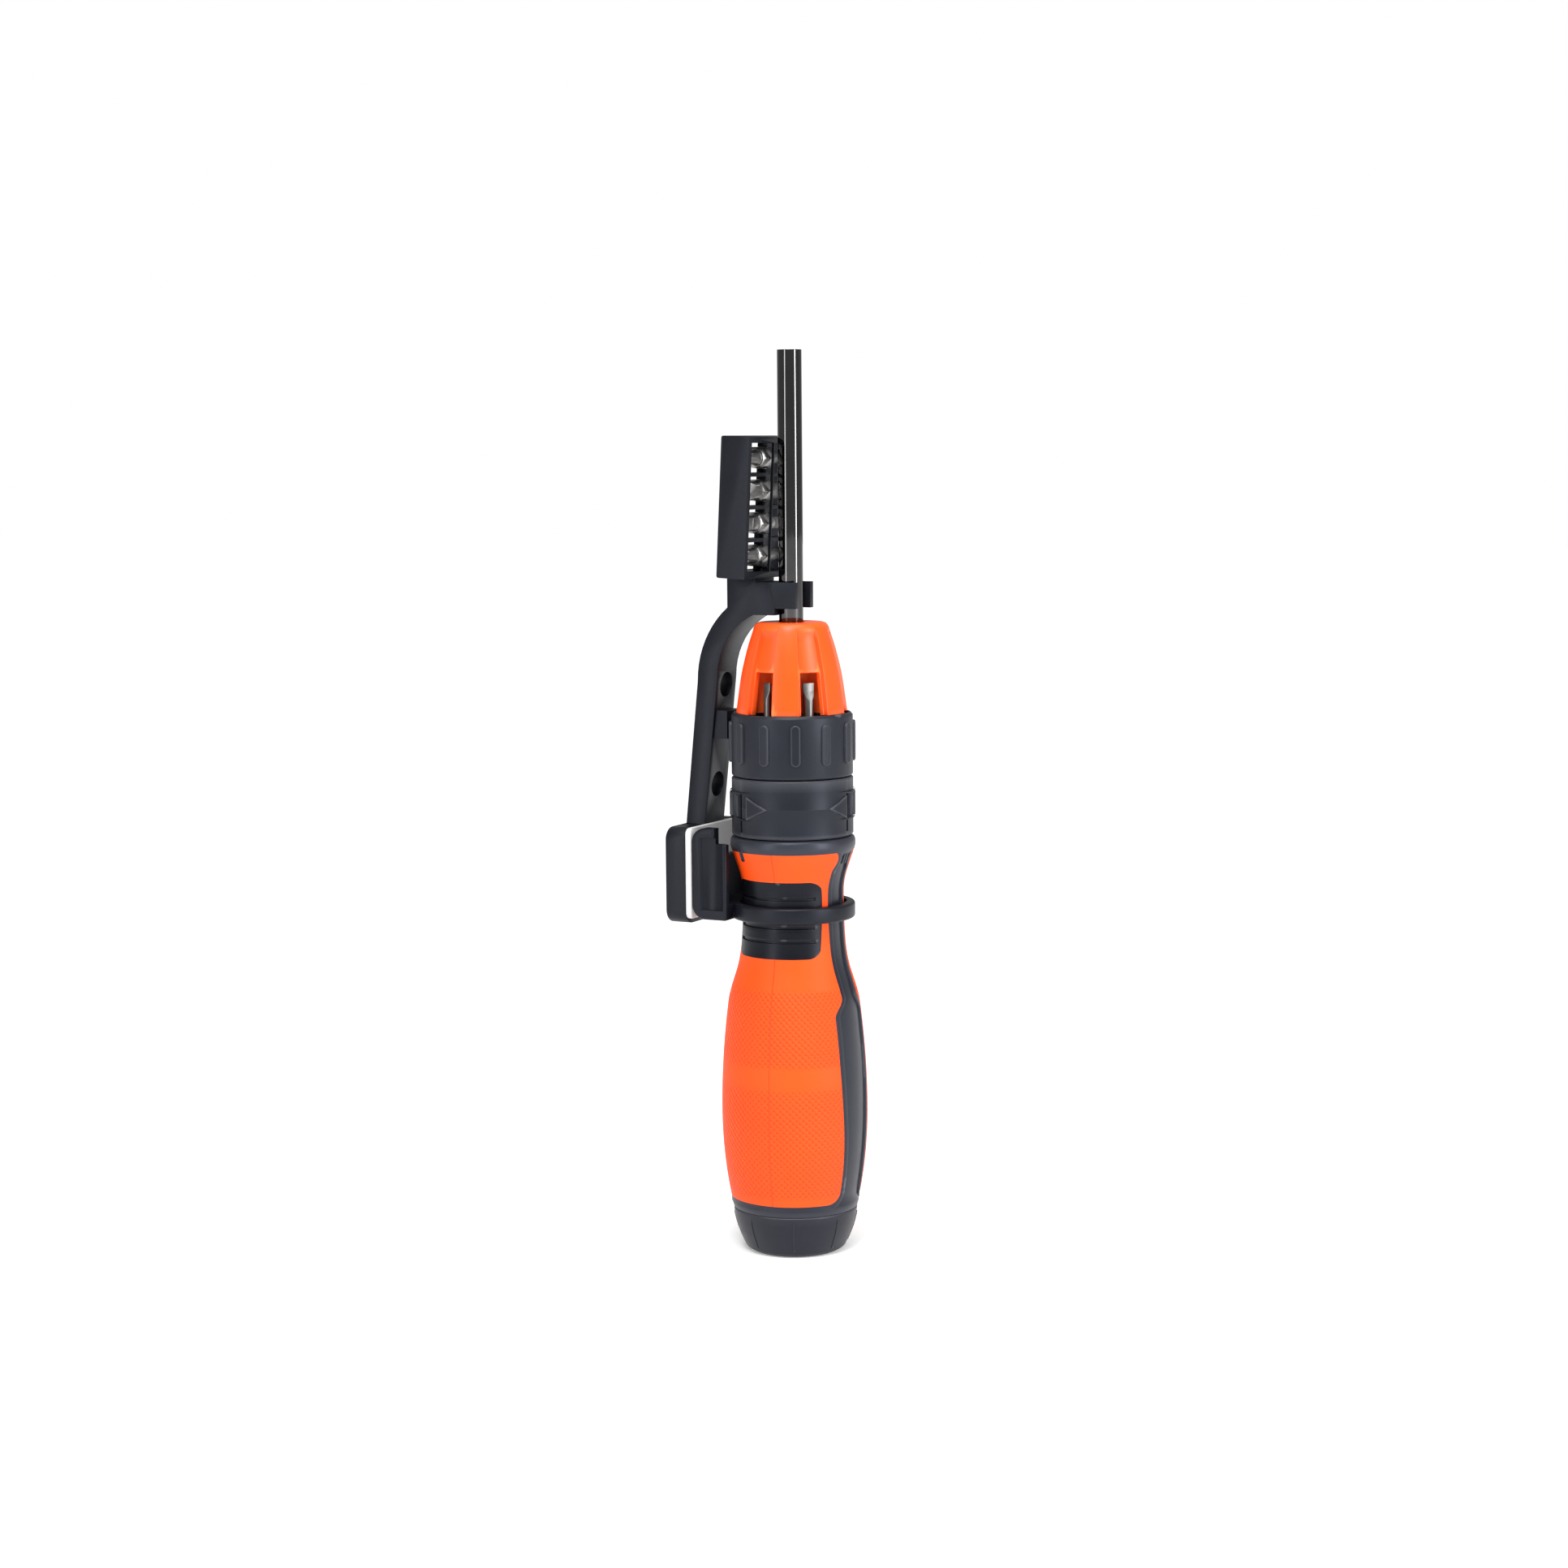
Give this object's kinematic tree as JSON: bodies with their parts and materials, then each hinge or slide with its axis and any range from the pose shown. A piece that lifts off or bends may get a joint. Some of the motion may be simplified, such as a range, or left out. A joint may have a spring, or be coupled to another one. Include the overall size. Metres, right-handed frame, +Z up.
{
  "type": "ratcheting screwdriver",
  "caption": "Ratcheting screwdriver standing on its end cap: soft grips on a hard core, selector ring, turning bit magazine under the nose, hex socket shaft and a hanging bit rack.",
  "frame": {"origin": "centre of the end cap's flat face, on the driver's axis", "axes": "+Z up the driver's axis to the shaft's end; the rack hangs on the -X side; grips face -Y and +Y"},
  "size_m": [0.056, 0.0448, 0.275],
  "materials": {
    "black_plastic": "matt",
    "dark_plastic": "satin",
    "orange_grip": "soft matt",
    "orange_plastic": "satin",
    "dark_chrome": "mirror",
    "steel": "ground",
    "bit_steel": "satin",
    "bronze": "plain",
    "pale_plastic": "matt"
  },
  "bodies": {
    "handle": {"end_cap": "black_plastic", "handle_core": "dark_plastic", "grip_left": "orange_grip", "grip_right": "orange_grip", "insert_left": "black_plastic", "insert_right": "black_plastic", "ratchet_housing": "steel", "ratchet_cover": "steel", "pawl_pins": "steel", "pawl_springs": "steel", "shaft_bush": "bronze"},
    "selector": {"selector_ring": "dark_plastic", "selector_cam": "steel"},
    "left_pawl": {"pawl_left": "steel"},
    "right_pawl": {"pawl_right": "steel"},
    "spindle": {"drive_shaft": "dark_chrome", "ratchet_gear": "steel", "thrust_washer": "steel", "tail_clip": "steel", "magazine_clip": "steel", "bit_collar": "dark_plastic"},
    "magazine": {"bit_carousel": "black_plastic", "nose_cone": "orange_plastic", "stored_bit_1": "bit_steel", "stored_bit_2": "bit_steel", "stored_bit_3": "bit_steel", "stored_bit_4": "bit_steel", "stored_bit_5": "bit_steel", "stored_bit_6": "bit_steel"},
    "holder": {"neck_clip": "dark_plastic", "pale_spacer": "pale_plastic", "rack_arm": "dark_plastic", "bit_rack": "dark_plastic", "rack_bit_1": "bit_steel", "rack_bit_2": "bit_steel", "rack_bit_3": "bit_steel", "rack_bit_4": "bit_steel"}
  },
  "joints": [
    {"name": "spindle_turn", "type": "hinge", "parent": "handle", "child": "spindle", "pos_m": [0, 0, 0.13], "axis": [0, 0, 1], "continuous": true},
    {"name": "magazine_turn", "type": "hinge", "parent": "spindle", "child": "magazine", "pos_m": [0, 0, 0.17], "axis": [0, 0, 1], "continuous": true},
    {"name": "selector_turn", "type": "hinge", "parent": "handle", "child": "selector", "pos_m": [0, 0, 0.138], "axis": [0, 0, 1], "range_deg": [-60, 0]},
    {"name": "left_pawl_tilt", "type": "hinge", "parent": "handle", "child": "left_pawl", "pos_m": [-0.00756, 0.0084, 0.135], "axis": [0, 0, 1], "range_deg": [0, 12]},
    {"name": "right_pawl_tilt", "type": "hinge", "parent": "handle", "child": "right_pawl", "pos_m": [-0.00756, -0.0084, 0.135], "axis": [0, 0, 1], "range_deg": [0, 12]},
    {"name": "holder_swivel", "type": "hinge", "parent": "handle", "child": "holder", "pos_m": [0, 0, 0.106], "axis": [0, 0, 1], "continuous": true}
  ],
  "couplings": [
    {"joint": "left_pawl_tilt", "follows": "selector_turn", "ratio": -0.2},
    {"joint": "right_pawl_tilt", "follows": "selector_turn", "ratio": -0.2}
  ]
}
